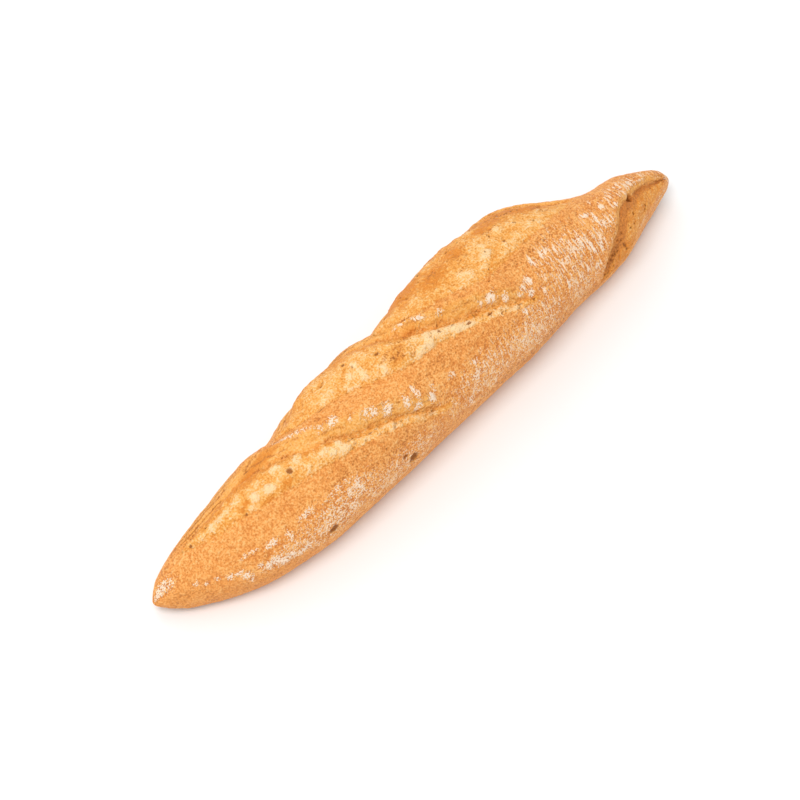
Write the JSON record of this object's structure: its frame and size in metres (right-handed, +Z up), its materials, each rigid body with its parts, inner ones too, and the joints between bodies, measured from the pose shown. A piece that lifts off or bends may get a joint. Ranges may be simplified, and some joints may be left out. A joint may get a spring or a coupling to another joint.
{
  "type": "baguette",
  "caption": "Rustic baguette, a long crusty loaf with a flat sole, pointed tips and oblique scoring cuts that opened in the oven.",
  "frame": {"origin": "on the oven floor plane that the sole rests on, under the middle of the loaf's bounding box", "axes": "+X along the loaf, from the blunt floury tip to the sharper tip with the side tear; +Z up, away from the flat sole; -Y out of the floury front flank"},
  "size_m": [0.4, 0.0828, 0.0621],
  "materials": {
    "crust": "matte golden baked crust, paler and blistered where the cuts opened, with dry white flour on the flanks"
  },
  "bodies": {
    "root": {"loaf": "crust"}
  },
  "joints": []
}
